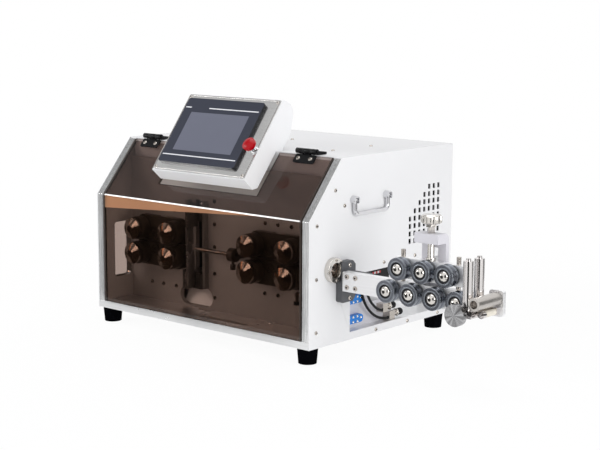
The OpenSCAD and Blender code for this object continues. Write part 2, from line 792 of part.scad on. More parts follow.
module straightener_slide() {
  color("lightgray") difference() {
    box([slide_x0, arm_y, slide_z], [slide_x1, arm_back - slide_gap, slide_top]);
    for (i = [0:2]) translate([first_x + (i + 0.5)*roller_pitch, 0, upper_z])
      cy(bolt_d + 0.04, arm_y - 1, arm_y + bar_grip + 0.3);
    for (s = [-1, 1]) translate([mid_x + s*guide_x, pin_y, 0])
      cz(guide_d + 2*run_gap, slide_z - 1, slide_top + 1);
    translate([mid_x, pin_y, 0]) cz(adj_d + 2*run_gap, slide_top - 8.4, slide_top + 1);
  }
  for (i = [0:2]) core_bolt(first_x + (i + 0.5)*roller_pitch, upper_z, bar_grip);
}
module adjuster() color("silver") {
  zk = beam_z + beam_t + 16;
  translate([mid_x, pin_y, 0]) {
    cz(adj_d, slide_top - 8, zk + 1);
    cz(17, slide_top + slide_gap, slide_top + 5);
    translate([0, 0, zk - 6]) cylinder(d=19, h=6, $fn=6);
    difference() {
      union() {
        cz(knob_d, zk + 2, zk + 12);
        translate([0, 0, zk]) cylinder(d1=knob_d - 5, d2=knob_d, h=2);
        translate([0, 0, zk + 12]) cylinder(d1=knob_d, d2=knob_d - 6, h=3);
      }
      for (a = [0:45:315]) rotate([0, 0, a]) translate([knob_d/2 + 2.6, 0, 0])
        cz(9, zk - 1, zk + 16);
    }
  }
}
module roller(x, z) {
  r = roller_d/2;
  w = roller_w;
  color("slategray") translate([x, arm_y - 2, z]) rotate([90, 0, 0]) rotate_extrude()
    polygon([[core_d/2 + run_gap, 0], [r - 1, 0], [r, 1], [r, w/2 - 5], [r - 3.5, w/2 - 1.5],
      [r - 3.5, w/2 + 1.5], [r, w/2 + 5], [r, w - 1], [r - 1, w], [core_d/2 + run_gap, w]]);
}
module lower_roller_a() roller(first_x, lower_z);
module lower_roller_b() roller(first_x + roller_pitch, lower_z);
module lower_roller_c() roller(first_x + 2*roller_pitch, lower_z);
module lower_roller_d() roller(first_x + 3*roller_pitch, lower_z);
module upper_roller_a() roller(first_x + 0.5*roller_pitch, upper_z);
module upper_roller_b() roller(first_x + 1.5*roller_pitch, upper_z);
module upper_roller_c() roller(first_x + 2.5*roller_pitch, upper_z);

// Fairlead at the free end of the arm
module fairlead_frame() {
  color("dimgray") difference() {
    union() {
      box([arm_x1, fair_y0, base_z], [fair_x + 12, fair_y1 + 1, base_z + 12]);
      box([fair_x + 11, fair_y1 - 8, base_z], [tube_x + 6, fair_y1 + 1, base_z + 12]);
      xz(fair_y1, fair_back)
        round_rect([tube_x - tube_d/2 - 4, base_z - 4], [ext_x1, tube_z + 14], 6);
    }
    for (s = [-1, 1]) translate([fair_x, wire_y + s*fair_s, 0])
      cz(6.04, base_z + 4, base_z + 13);
    translate([clamp_x, 0, base_z + 6]) cy(8 + 2*run_gap, fair_y0 - 1, fair_y0 + 13.5);
    translate([first_x + 3*roller_pitch, 0, lower_z])
      cy(roller_d + 2, arm_y - roller_w - 2.6, arm_y);
  }
  color("silver") for (s = [-1, 1]) translate([fair_x, wire_y + s*fair_s, 0]) {
    cz(6, base_z + 4, wire_z + 58);
    cz(10, base_z + 12, base_z + 15);
    cz(8, wire_z + 58, wire_z + 62);
  }
  color("silver") {
    translate([tube_x, 0, tube_z]) cy(14 - 2*run_gap, tube_y0 + 20, fair_y1);
    translate([tube_x, 0, base_z + 5]) {
      cy(7, fair_y0 + 12, fair_y1 - 8);
      cy(12, fair_y0 + 17, fair_y0 + 25);
    }
  }
  color("ivory") translate([tube_x, 0, base_z + 5]) difference() {
    cy(11, fair_y0 + 25, fair_y1 - 8);
    cy(7.04, fair_y0 + 24, fair_y1 - 7);
  }
}
module fairlead_post(y) {
  color("silver") translate([fair_x, y, 0]) difference() {
    cz(fair_d, base_z + 15.3, wire_z + 57.7);
    cz(6 + 2*run_gap, base_z + 15, wire_z + 58);
  }
}
module fairlead_front() fairlead_post(wire_y - fair_s);
module fairlead_rear() fairlead_post(wire_y + fair_s);
module fairlead_tube() color("silver") {
  translate([tube_x, 0, tube_z]) difference() {
    cy(tube_d, tube_y0, tube_y1);
    cy(14, tube_y0 - 1, tube_y1 + 1);
  }
}
module clamp_knob() color("silver") {
  translate([clamp_x, 0, base_z + 6]) {
    cy(37, fair_y0 - 18, fair_y0 - 7.5);
    cy(8, fair_y0 - 8, fair_y0 + 13);
  }
}

// Valve bay: air valves on a rack plate, their tubes, terminals and the driver case
module air_valves() {
  z0 = base_t;
  color("lightgray") difference() {
    box([rack_x, 116, z0], [rack_x + 3, 250, z0 + 92]);
    box([rack_x - 1, 196, z0 + 40], [rack_x + 4, 251, z0 + 93]);
  }
  color("lightgray") {
    box([rack_x + 3, 238, z0], [rack_x + 19, 254, z0 + 17]);
    translate([rack_x + 11, 0, z0 + 10]) cy(11, 254, 266);
    box([rack_x + 3, 218, z0 + 18], [rack_x + 19, 232, z0 + 34]);
    translate([rack_x + 11, 0, z0 + 26]) cy(11, 232, 244);
    box([rack_x + 3, 144, z0 + 76], [rack_x + 19, 180, z0 + 90]);
  }
  color("black") for (p = [[266, 10], [244, 26]]) translate([rack_x + 11, 0, z0 + p[1]]) {
    cy(9, p[0], p[0] + 6);
    cy(12, p[0] + 6, p[0] + 16);
  }
  color("silver") translate([-120, 0, 70]) difference() {
    union() {
      cy(16, body_d, ext_y1);
      cy(9.9, body_d - 16, body_d + 1);
    }
    cy(6, body_d - 17, ext_y1 + 1);
  }
}
module air_tubes() color("black") {
  translate([rack_x + 15.8, tube_c[0], tube_c[1] + base_t - 14]) rotate([90, 0, 90]) {
    rotate([0, 0, 188]) rotate_extrude(angle=82) translate([85, 0]) circle(d=5);
    rotate([0, 0, 188]) rotate_extrude(angle=66) translate([71, 0]) circle(d=5);
  }
}
module electrics() {
  z0 = base_t;
  color("dodgerblue") for (z = [10, 47]) {
    box([rack_x + 3, 118, z0 + z], [rack_x + 13, 158, z0 + z + 15]);
    translate([0, 158, z0 + z + 7.5]) cx(15, rack_x + 3, rack_x + 13);
  }
  color("black") box([bay_x + sheet_t, 182, z0 + 74], [rack_x - 2, 262, z0 + 116]);
  color("black") {
    xz(body_d, ext_y1) round_rect([-183, 57], [-149, 84], 3);
    box([-179.8, body_d - 18, 60.2], [-152.2, body_d + 0.5, 80.8]);
  }
  color("silver") {
    translate([0, 20, wire_z - 44]) cx(6, px - 27, px);
    translate([px - 26, 20, 0]) cz(9, wire_z - 56, wire_z - 40);
  }
  color("black") translate([px - 26, 20, 0]) cz(14, wire_z - 62, wire_z - 56);
}

place() base_plate();
place() side_frames();
place() main_plate();
place() top_cover();
place() right_panel();
place() left_panel();
place() rear_panel();
place() rubber_feet();
place() panel_screws();
place() operator_box();
place() operator_plate();
place() touch_panel();
place() stop_collar();
place() hinge_bases();
place() lower_feed_blocks();
place() slide_rails();
place() drive_housings();
place() drive_motors();
place() wire_guide();
place() inlet_bush();
place() handle_bosses();
place() straightener_bracket();
place() straightener_arm();
place() straightener_gantry();
place() straightener_pins();
place() fairlead_frame();
place() air_valves();
place() air_tubes();
place() electrics();
place() front_cover();
place() cover_hinges();
place() stop_button();
place() infeed_upper_block();
place() outfeed_upper_block();
place() infeed_wheel_la();
place() infeed_wheel_lb();
place() infeed_wheel_ua();
place() infeed_wheel_ub();
place() outfeed_wheel_la();
place() outfeed_wheel_lb();
place() outfeed_wheel_ua();
place() outfeed_wheel_ub();
place() upper_blade_carrier();
place() lower_blade_carrier();
place() blade_screw();
place() straightener_slide();
place() adjuster();
place() clamp_knob();
place() right_handle();
place() left_handle();
place() lower_roller_a();
place() lower_roller_b();
place() lower_roller_c();
place() lower_roller_d();
place() upper_roller_a();
place() upper_roller_b();
place() upper_roller_c();
place() fairlead_front();
place() fairlead_rear();
place() fairlead_tube();
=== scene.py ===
# %% [markdown]
# # A bench machine that cuts and strips wire
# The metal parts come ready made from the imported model, so this lesson is about dressing them:
# camera, light, finishes, and the small pieces that go on top. Everything is in metres and in the
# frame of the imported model, so nothing is ever moved to fit.

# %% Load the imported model
import bpy
import bmesh
import math
from mathutils import Matrix, Vector


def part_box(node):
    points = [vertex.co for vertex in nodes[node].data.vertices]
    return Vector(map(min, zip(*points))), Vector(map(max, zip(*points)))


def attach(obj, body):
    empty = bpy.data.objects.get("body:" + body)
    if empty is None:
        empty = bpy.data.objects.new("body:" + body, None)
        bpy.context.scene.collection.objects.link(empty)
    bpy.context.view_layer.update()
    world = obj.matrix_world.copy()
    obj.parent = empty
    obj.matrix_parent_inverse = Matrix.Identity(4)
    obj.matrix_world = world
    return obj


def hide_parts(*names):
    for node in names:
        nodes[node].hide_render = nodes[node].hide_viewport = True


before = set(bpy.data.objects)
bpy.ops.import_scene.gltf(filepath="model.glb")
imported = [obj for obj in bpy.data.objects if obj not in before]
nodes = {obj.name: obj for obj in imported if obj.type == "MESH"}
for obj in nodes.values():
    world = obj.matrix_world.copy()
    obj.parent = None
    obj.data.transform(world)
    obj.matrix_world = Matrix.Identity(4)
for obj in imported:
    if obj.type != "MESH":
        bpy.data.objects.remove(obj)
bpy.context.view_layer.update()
base_low, base_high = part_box("base_plate")
machine_zero = Vector(((base_low.x + base_high.x) / 2, base_low.y, base_low.z))


def at(x, y, z):
    """A point given in millimetres from the middle of the base's front lower edge."""
    return machine_zero + Vector((x, y, z)) / 1000


def in_mm(point):
    """The same millimetres, read back from a point in metres."""
    return (Vector(point) - machine_zero) * 1000


# %% [markdown]
# ## Camera
# The photo was solved for its camera first: a long lens from the front right, a little above.
# A long lens keeps the box edges nearly parallel, which is what gives a product shot its calm.

# %% Camera
camera_data = bpy.data.cameras.new("photo_camera")
camera_data.sensor_width = 36
camera_data.lens = 86.42
camera_data.clip_end = 200
camera_place = at(1865.06, -1871.23, 620.12)
camera = bpy.data.objects.new("photo_camera", camera_data)
bpy.context.collection.objects.link(camera)
yaw, pitch, roll = 0.711, 0.160, 0.004
tip = Matrix.Rotation(math.pi / 2 - pitch, 4, "X")
turn = Matrix.Rotation(yaw, 4, "Z") @ tip @ Matrix.Rotation(roll, 4, "Z")
camera.matrix_world = Matrix.Translation(camera_place) @ turn
bpy.context.scene.camera = camera
print("camera at", tuple(round(c, 3) for c in camera.matrix_world.translation))

# %% [markdown]
# ## Node helpers
# Every material below is a node tree, so two helpers come first. One adds a node and sets it in
# one line. The other tells apart the rays that should meet the white backdrop, which are those
# that come from the eye, from gloss or through glass, from the rays that only carry light.


# %% Node helpers
def add(tree, kind, **values):
    """A node with some of its sockets or settings set."""
    node = tree.nodes.new(kind)
    for key, value in values.items():
        if key in node.inputs:
            node.inputs[key].default_value = value
        else:
            setattr(node, key, value)
    return node


def shown_rays(tree):
    """A socket that is 1 for rays that show the backdrop, and 0 for rays that only carry light."""
    path = add(tree, "ShaderNodeLightPath")
    direct = add(tree, "ShaderNodeMath", operation="MAXIMUM")
    every = add(tree, "ShaderNodeMath", operation="MAXIMUM")
    tree.links.new(path.outputs["Is Camera Ray"], direct.inputs[0])
    tree.links.new(path.outputs["Is Transmission Ray"], direct.inputs[1])
    tree.links.new(direct.outputs[0], every.inputs[0])
    tree.links.new(path.outputs["Is Glossy Ray"], every.inputs[1])
    return every.outputs[0]


print("helpers ready")

# %% [markdown]
# ## Floor and light
# The photo is high key: everything stands in even white light, with a few brighter boxes that
# draw highlights on the metal. The world gives the even part and is plain white to the eye.
# Chrome that sees only white looks like paper, so dark cards stand outside the view, where only
# reflections can find them.

# %% World
bpy.context.scene.view_settings.view_transform = "Standard"
world = bpy.data.worlds.new("studio")
bpy.context.scene.world = world
world.use_nodes = True
wt = world.node_tree
wt.nodes.clear()
w_out = add(wt, "ShaderNodeOutputWorld")
w_light = add(wt, "ShaderNodeBackground", Color=(0.97, 0.975, 1.0, 1), Strength=0.60)
w_white = add(wt, "ShaderNodeBackground", Color=(1, 1, 1, 1), Strength=1.0)
w_pick = add(wt, "ShaderNodeMixShader")
wt.links.new(shown_rays(wt), w_pick.inputs[0])
wt.links.new(w_light.outputs[0], w_pick.inputs[1])
wt.links.new(w_white.outputs[0], w_pick.inputs[2])
wt.links.new(w_pick.outputs[0], w_out.inputs[0])
print("world", world.name)

# %% [markdown]
# Three soft boxes draw the highlights. A card has no light of its own for the room: its colour
# shows only to a ray that has already met a glossy face.


# %% Lamps and cards
def facing(place, target):
    """The turn that points a lamp or card at a target."""
    return (Vector(target) - Vector(place)).to_track_quat("-Z", "Y").to_matrix().to_4x4()


def softbox(name, place, target, width, height, power):
    """A rectangular lamp that looks at a point. It isn't seen through the clear sheet."""
    data = bpy.data.lights.new(name, "AREA")
    data.shape = "RECTANGLE"
    data.size, data.size_y, data.energy = width, height, power
    lamp = bpy.data.objects.new(name, data)
    lamp.matrix_world = Matrix.Translation(place) @ facing(place, target)
    lamp.visible_transmission = False
    bpy.context.collection.objects.link(lamp)


def card(name, place, target, width, height, look):
    """A card that the eye never sees: only reflections find it."""
    bm = bmesh.new()
    bmesh.ops.create_grid(bm, x_segments=1, y_segments=1, size=0.5)
    bmesh.ops.scale(bm, vec=(width, height, 1), verts=bm.verts)
    mesh = bpy.data.meshes.new(name)
    bm.to_mesh(mesh)
    bm.free()
    mesh.materials.append(look)
    plane = bpy.data.objects.new(name, mesh)
    plane.matrix_world = Matrix.Translation(place) @ facing(place, target)
    plane.visible_camera = plane.visible_diffuse = plane.visible_shadow = False
    bpy.context.collection.objects.link(plane)
    return plane


def card_look(name, colour, behind_sheet=False):
    """An even colour for rays that have met a glossy face, or one behind the clear sheet."""
    look = bpy.data.materials.new(name)
    look.use_nodes = True
    tree = look.node_tree
    tree.nodes.clear()
    end = add(tree, "ShaderNodeOutputMaterial")
    glow = add(tree, "ShaderNodeEmission", Color=(*colour, 1), Strength=1.0)
    path = add(tree, "ShaderNodeLightPath")
    met_gloss = add(tree, "ShaderNodeMath", operation="GREATER_THAN")
    met_gloss.inputs[1].default_value = 0.5
    pick = add(tree, "ShaderNodeMixShader")
    nothing = add(tree, "ShaderNodeBsdfTransparent")
    tree.links.new(path.outputs["Glossy Depth"], met_gloss.inputs[0])
    tree.links.new(met_gloss.outputs[0], pick.inputs[0])
    if behind_sheet:
        met_both = add(tree, "ShaderNodeMath", operation="MULTIPLY")
        tree.links.new(met_gloss.outputs[0], met_both.inputs[0])
        tree.links.new(path.outputs["Transmission Depth"], met_both.inputs[1])
        tree.links.new(met_both.outputs[0], pick.inputs[0])
    tree.links.new(nothing.outputs[0], pick.inputs[1])
    tree.links.new(glow.outputs[0], pick.inputs[2])
    tree.links.new(pick.outputs[0], end.inputs[0])
    return look


black_card = card_look("black_card", (0.015, 0.015, 0.015))
grey_card = card_look("grey_card", (0.45, 0.45, 0.45))
softbox("box_left", (-2.1, -1.9, 1.15), (0, 0, 0.2), 0.9, 0.9, 26)
softbox("box_right", (2.4, -0.6, 0.6), (0.1, 0, 0.12), 1.4, 1.1, 26)
softbox("box_top", (0.0, -0.2, 2.6), (0, 0, 0.2), 2.2, 1.6, 19)
front_card = card("card_front", (-0.32, -0.37, 0.14), (-0.32, 0, 0.14), 0.56, 0.28, black_card)
front_card.visible_transmission = False
card("card_cones", (0.66, -0.62, 0.25), (-0.1, -0.18, 0.2), 0.36, 0.50, black_card)
card("card_right", (0.95, 0.40, 0.25), (0.3, -0.1, 0.25), 0.40, 0.50, black_card)
card("card_back", (0.45, 0.80, 0.25), (0.4, 0, 0.25), 0.40, 0.50, black_card)
card("card_high", (-1.82, -0.78, 1.9), (0, 0, 0.25), 2.2, 2.2, grey_card)
card("card_disc", (0.09, -0.52, 0.20), (0.09, 0, 0.20), 0.10, 0.40, black_card)
print("lamps", len(bpy.data.lights))

# %% [markdown]
# The cone nuts behind the cover are near mirrors. In even white light they would look like flat
# discs, so what shines out through the cover meets a dark tent with two bright cards in it: each
# cone then shows two clean wedges of light.

# %% Tent for the cones
bm = bmesh.new()
bmesh.ops.create_uvsphere(bm, u_segments=24, v_segments=12, radius=7)
every_part = bm.verts[:] + bm.edges[:] + bm.faces[:]
tent_foot = (0, 0, 0.004)
bmesh.ops.bisect_plane(bm, geom=every_part, plane_co=tent_foot, plane_no=(0, 0, 1), clear_inner=True)
bmesh.ops.contextual_create(bm, geom=[e for e in bm.edges if e.is_boundary])
tent_mesh = bpy.data.meshes.new("tent")
bm.to_mesh(tent_mesh)
bm.free()
tent_mesh.materials.append(card_look("tent_dark", (0.09, 0.075, 0.06), True))
tent = bpy.data.objects.new("tent", tent_mesh)
tent.visible_camera = tent.visible_diffuse = tent.visible_shadow = False
bpy.context.collection.objects.link(tent)
wedge_white = card_look("wedge_white", (5.2, 5.4, 5.4), True)
wedge_orange = card_look("wedge_orange", (4.2, 1.9, 0.6), True)
card("card_wedge_a", (-1.20, -4.35, 1.6), (-0.2, -0.2, 0.2), 1.7, 1.6, wedge_white)
card("card_wedge_b", (-3.55, -2.75, 1.80), (-0.2, -0.2, 0.2), 1.5, 1.6, wedge_orange)
print("tent faces", len(tent_mesh.polygons))

# %% [markdown]
# The floor is pale and diffuse, and keeps the machine's shadow. To the eye it fades to plain white
# away from the middle, so no edge of it shows.

# %% Floor
bm = bmesh.new()
bmesh.ops.create_grid(bm, x_segments=1, y_segments=1, size=40)
floor_mesh = bpy.data.meshes.new("floor")
bm.to_mesh(floor_mesh)
bm.free()
floor = bpy.data.objects.new("floor", floor_mesh)
bpy.context.collection.objects.link(floor)
floor.location.z = -0.0005
floor_look = bpy.data.materials.new("pale_floor")
floor_look.use_nodes = True
ft = floor_look.node_tree
ft.nodes.clear()
f_out = add(ft, "ShaderNodeOutputMaterial")
f_mix = add(ft, "ShaderNodeMixShader")
f_diff = add(ft, "ShaderNodeBsdfDiffuse", Color=(0.92, 0.92, 0.92, 1))
f_glow = add(ft, "ShaderNodeEmission", Color=(1, 1, 1, 1), Strength=1.0)
f_spot = add(ft, "ShaderNodeTexCoord")
f_away = add(ft, "ShaderNodeVectorMath", operation="LENGTH")
f_fade = add(ft, "ShaderNodeMapRange", interpolation_type="SMOOTHSTEP")
f_fade.inputs["From Min"].default_value = 0.3
f_fade.inputs["From Max"].default_value = 1.3
f_fade.inputs["To Min"].default_value = 0.93
f_fade.inputs["To Max"].default_value = 1.0
f_most = add(ft, "ShaderNodeMath", operation="MULTIPLY")
ft.links.new(f_spot.outputs["Object"], f_away.inputs[0])
ft.links.new(f_away.outputs["Value"], f_fade.inputs["Value"])
ft.links.new(f_fade.outputs[0], f_most.inputs[1])
ft.links.new(shown_rays(ft), f_most.inputs[0])
ft.links.new(f_most.outputs[0], f_mix.inputs[0])
ft.links.new(f_diff.outputs[0], f_mix.inputs[1])
ft.links.new(f_glow.outputs[0], f_mix.inputs[2])
ft.links.new(f_mix.outputs[0], f_out.inputs[0])
floor_mesh.materials.append(floor_look)
print("floor", floor.name)

# %% [markdown]
# ## Effects that several finishes share
# Powder paint, brushed metal and turned rings turn up on many pieces, so each is a small node
# group with named sockets. A group only hands out values that vary over the surface; the shader
# itself stays in the material, where it can be read by whoever opens the file.


# %% Node groups
def effect(name, inputs, outputs):
    """An empty shader group with the given sockets, and its two end nodes."""
    group = bpy.data.node_groups.new(name, "ShaderNodeTree")
    for label, kind, value in inputs:
        socket = group.interface.new_socket(label, in_out="INPUT", socket_type=kind)
        socket.default_value = value
    for label, kind in outputs:
        group.interface.new_socket(label, in_out="OUTPUT", socket_type=kind)
    return group, group.nodes.new("NodeGroupInput"), group.nodes.new("NodeGroupOutput")


peel, g_in, g_out = effect("powder_peel", [("Scale", "NodeSocketFloat", 900.0)],
                           [("Height", "NodeSocketFloat"), ("Cloud", "NodeSocketFloat")])
coord = add(peel, "ShaderNodeTexCoord")
fine = add(peel, "ShaderNodeTexNoise", Detail=3.0, Roughness=0.55)
slow = add(peel, "ShaderNodeTexNoise", Scale=6.0, Detail=4.0)
peel.links.new(coord.outputs["Object"], fine.inputs["Vector"])
peel.links.new(coord.outputs["Object"], slow.inputs["Vector"])
peel.links.new(g_in.outputs["Scale"], fine.inputs["Scale"])
peel.links.new(fine.outputs[0], g_out.inputs["Height"])
peel.links.new(slow.outputs[0], g_out.inputs["Cloud"])

brush, g_in, g_out = effect("brushed_lines", [("Stretch", "NodeSocketVector", (8.0, 400.0, 400.0))],
                            [("Lines", "NodeSocketFloat"), ("Smudge", "NodeSocketFloat")])
coord = add(brush, "ShaderNodeTexCoord")
scaled = add(brush, "ShaderNodeMapping")
lines = add(brush, "ShaderNodeTexNoise", Scale=1.0, Detail=5.0, Roughness=0.6)
smudge = add(brush, "ShaderNodeTexNoise", Scale=14.0, Detail=3.0)
brush.links.new(coord.outputs["Object"], scaled.inputs["Vector"])
brush.links.new(g_in.outputs["Stretch"], scaled.inputs["Scale"])
brush.links.new(scaled.outputs[0], lines.inputs["Vector"])
brush.links.new(coord.outputs["Object"], smudge.inputs["Vector"])
brush.links.new(lines.outputs[0], g_out.inputs["Lines"])
brush.links.new(smudge.outputs[0], g_out.inputs["Smudge"])

# The fan output is a painted highlight: the fan of light on turned metal, laid into its colour.
rings, g_in, g_out = effect("turned_rings", [("Centre", "NodeSocketVector", (0.0, 0.0, 0.0)),
                                             ("Across", "NodeSocketVector", (1.0, 0.0, 1.0))],
                            [("Rings", "NodeSocketFloat"), ("Painted_fan", "NodeSocketFloat")])
coord = add(rings, "ShaderNodeTexCoord")
away = add(rings, "ShaderNodeVectorMath", operation="SUBTRACT")
flat = add(rings, "ShaderNodeVectorMath", operation="MULTIPLY")
reach = add(rings, "ShaderNodeVectorMath", operation="LENGTH")
unit = add(rings, "ShaderNodeVectorMath", operation="NORMALIZE")
groove = add(rings, "ShaderNodeTexNoise", noise_dimensions="1D", Scale=2600.0, Detail=2.0)
fan = add(rings, "ShaderNodeTexNoise", Scale=2.2, Detail=1.0)
rings.links.new(coord.outputs["Object"], away.inputs[0])
rings.links.new(g_in.outputs["Centre"], away.inputs[1])
rings.links.new(away.outputs[0], flat.inputs[0])
rings.links.new(g_in.outputs["Across"], flat.inputs[1])
rings.links.new(flat.outputs[0], reach.inputs[0])
rings.links.new(flat.outputs[0], unit.inputs[0])
rings.links.new(reach.outputs["Value"], groove.inputs["W"])
rings.links.new(unit.outputs[0], fan.inputs["Vector"])
rings.links.new(groove.outputs[0], g_out.inputs["Rings"])
rings.links.new(fan.outputs[0], g_out.inputs["Painted_fan"])
print("effects", [g.name for g in bpy.data.node_groups])

# %% [markdown]
# ## Finishes
# Three recipes cover the machine: paint and plastic take the peel group, metal takes the brushed
# lines, and turned faces take the rings. Each finish only chooses colour, gloss and scale.


# %% Recipes
def blank(name):
    """A material with its output and a Principled shader."""
    look = bpy.data.materials.new(name)
    look.use_nodes = True
    tree = look.node_tree
    return look, tree, tree.nodes["Principled BSDF"]


def between(tree, mask, low, high, socket):
    """Drives a shader socket from a mask, between two values."""
    spread = add(tree, "ShaderNodeMapRange")
    spread.inputs["From Min"].default_value = 0.3
    spread.inputs["From Max"].default_value = 0.7
    spread.inputs["To Min"].default_value = low
    spread.inputs["To Max"].default_value = high
    tree.links.new(mask, spread.inputs["Value"])
    tree.links.new(spread.outputs[0], socket)


def tint(tree, mask, dark, light, socket):
    """Drives a colour socket from a mask, between two colours."""
    ramp = add(tree, "ShaderNodeValToRGB")
    ramp.color_ramp.elements[0].position = 0.3
    ramp.color_ramp.elements[0].color = (*dark, 1)
    ramp.color_ramp.elements[1].position = 0.7
    ramp.color_ramp.elements[1].color = (*light, 1)
    tree.links.new(mask, ramp.inputs[0])
    tree.links.new(ramp.outputs[0], socket)


def bump(tree, height, shader, strength, distance):
    """Feeds a height into the shader's normal."""
    relief = add(tree, "ShaderNodeBump", Strength=strength, Distance=distance)
    tree.links.new(height, relief.inputs["Height"])
    tree.links.new(relief.outputs[0], shader.inputs["Normal"])


def grained(name, colour, vary, gloss, scale=900.0, depth=0.12, coat=0.0, sheen=0.5):
    """Paint, plastic or rubber: a fine peel and a slow cloud of colour and gloss."""
    look, tree, shader = blank(name)
    skin = add(tree, "ShaderNodeGroup", node_tree=peel)
    skin.inputs["Scale"].default_value = scale
    tint(tree, skin.outputs["Cloud"], [c * (1 - vary) for c in colour], colour, shader.inputs["Base Color"])
    between(tree, skin.outputs["Cloud"], gloss * 0.85, gloss * 1.15, shader.inputs["Roughness"])
    bump(tree, skin.outputs["Height"], shader, depth, 0.0004)
    shader.inputs["Specular IOR Level"].default_value = sheen
    shader.inputs["Coat Weight"].default_value = coat
    shader.inputs["Coat Roughness"].default_value = 0.05
    return look


def brushed(name, colour, vary, gloss, stretch=(8.0, 400.0, 400.0), depth=0.05):
    """Bare metal drawn along one direction."""
    look, tree, shader = blank(name)
    grain = add(tree, "ShaderNodeGroup", node_tree=brush)
    grain.inputs["Stretch"].default_value = stretch
    tint(tree, grain.outputs["Lines"], [c * (1 - vary) for c in colour], colour, shader.inputs["Base Color"])
    between(tree, grain.outputs["Smudge"], gloss * 0.8, gloss * 1.25, shader.inputs["Roughness"])
    bump(tree, grain.outputs["Lines"], shader, depth, 0.0003)
    shader.inputs["Metallic"].default_value = 1.0
    return look


def turned_metal(name, colour, vary, gloss, centre, across, depth=0.08):
    """Metal from the lathe: fine rings round an axis, and the fan of light that they catch, painted into the
    colour as a highlight.
    """
    look, tree, shader = blank(name)
    lathe = add(tree, "ShaderNodeGroup", node_tree=rings)
    lathe.inputs["Centre"].default_value = centre
    lathe.inputs["Across"].default_value = across
    tint(tree, lathe.outputs["Painted_fan"], [c * (1 - vary) for c in colour], colour, shader.inputs["Base Color"])
    between(tree, lathe.outputs["Rings"], gloss * 0.8, gloss * 1.2, shader.inputs["Roughness"])
    bump(tree, lathe.outputs["Rings"], shader, depth, 0.0002)
    shader.inputs["Metallic"].default_value = 1.0
    return look


print("recipes ready")

# %% [markdown]
# The photo decides the colours. Paint reads as its own colour, so it is set close to what the
# photo shows; metal reads as what it reflects, so it is set by kind and then judged in the render.

# %% Finishes
white_powder = grained("white_powder", (0.79, 0.79, 0.795), 0.03, 0.42, 1400.0, 0.06, sheen=0.3)
box_white = grained("box_white", (0.87, 0.872, 0.88), 0.03, 0.36, 1400.0, 0.06, sheen=0.3)
plate_brown = grained("plate_anodised", (0.36, 0.335, 0.32), 0.12, 0.42, 900.0, 0.05, sheen=0.3)
wall_brown = grained("wall_anodised", (0.40, 0.375, 0.36), 0.08, 0.45, 900.0, 0.05, sheen=0.3)
rail_brown = grained("rail_anodised", (0.18, 0.17, 0.16), 0.12, 0.40, 900.0, 0.05, sheen=0.3)
black_anodised = grained("black_anodised", (0.050, 0.038, 0.028), 0.25, 0.34, 1200.0, 0.06, sheen=0.2)
black_plastic = grained("black_plastic", (0.014, 0.014, 0.016), 0.2, 0.42, 700.0, 0.15, sheen=0.2)
black_rubber = grained("black_rubber", (0.003, 0.003, 0.004), 0.25, 0.5, 500.0, 0.25, sheen=0.0)
black_hinge = grained("black_hinge", (0.007, 0.007, 0.008), 0.2, 0.28, 900.0, 0.06, sheen=0.15)
# Near black for faces in shade, the insides of the panels and the sockets of the screws: painted shade.
painted_shade_black = grained("painted_shade_black", (0.006, 0.006, 0.007), 0.2, 0.6, sheen=0.1)
grey_bracket = grained("grey_bracket", (0.115, 0.118, 0.125), 0.12, 0.45, 900.0, 0.08, sheen=0.25)
cast_grey = grained("cast_grey", (0.66, 0.65, 0.69), 0.05, 0.46, 600.0, 0.12, sheen=0.3)
motor_grey = grained("motor_grey", (0.05, 0.05, 0.055), 0.15, 0.45, sheen=0.2)
blue_terminal = grained("blue_terminal", (0.008, 0.19, 0.62), 0.12, 0.3, 500.0, 0.05, sheen=0.3)
ivory_spacer = grained("ivory_spacer", (0.70, 0.66, 0.57), 0.06, 0.4, 600.0, 0.08)
bezel_charcoal = grained("bezel_charcoal", (0.030, 0.034, 0.052), 0.08, 0.5, 1600.0, 0.10, sheen=0.25)
display_grey = grained("display_grey", (0.145, 0.153, 0.197), 0.04, 0.35, 300.0, 0.0, sheen=0.15)
mark_grey = grained("mark_grey", (0.78, 0.79, 0.82), 0.05, 0.5)
mark_red = grained("mark_red", (0.45, 0.02, 0.02), 0.1, 0.4)
mark_white = grained("mark_white", (0.60, 0.60, 0.60), 0.05, 0.4)
tube_black = grained("tube_black", (0.006, 0.006, 0.007), 0.15, 0.3, sheen=0.2)
stop_red = grained("stop_red", (0.40, 0.001, 0.007), 0.12, 0.12, 400.0, 0.02, 0.0, 0.25)
carrier_dark = grained("carrier_dark", (0.055, 0.050, 0.046), 0.15, 0.35, sheen=0.3)
pale_screw = grained("pale_screw", (0.62, 0.58, 0.54), 0.1, 0.35, 900.0, 0.03)
# Near white for the faces behind the slot by the blade: a painted reflection of the bright light seen there.
chute_painted_reflection = grained("chute_painted_reflection", (0.90, 0.89, 0.88), 0.05, 0.4)
frame_aluminium = brushed("frame_aluminium", (0.84, 0.845, 0.85), 0.42, 0.22, (420.0, 420.0, 16.0))
base_aluminium = brushed("base_aluminium", (0.88, 0.885, 0.89), 0.10, 0.32, (6.0, 420.0, 420.0))
arm_aluminium = brushed("arm_aluminium", (0.94, 0.94, 0.95), 0.06, 0.46, (12.0, 420.0, 420.0))
stainless_plate = brushed("stainless_plate", (0.95, 0.945, 0.94), 0.10, 0.2, (8.0, 420.0, 420.0), 0.01)
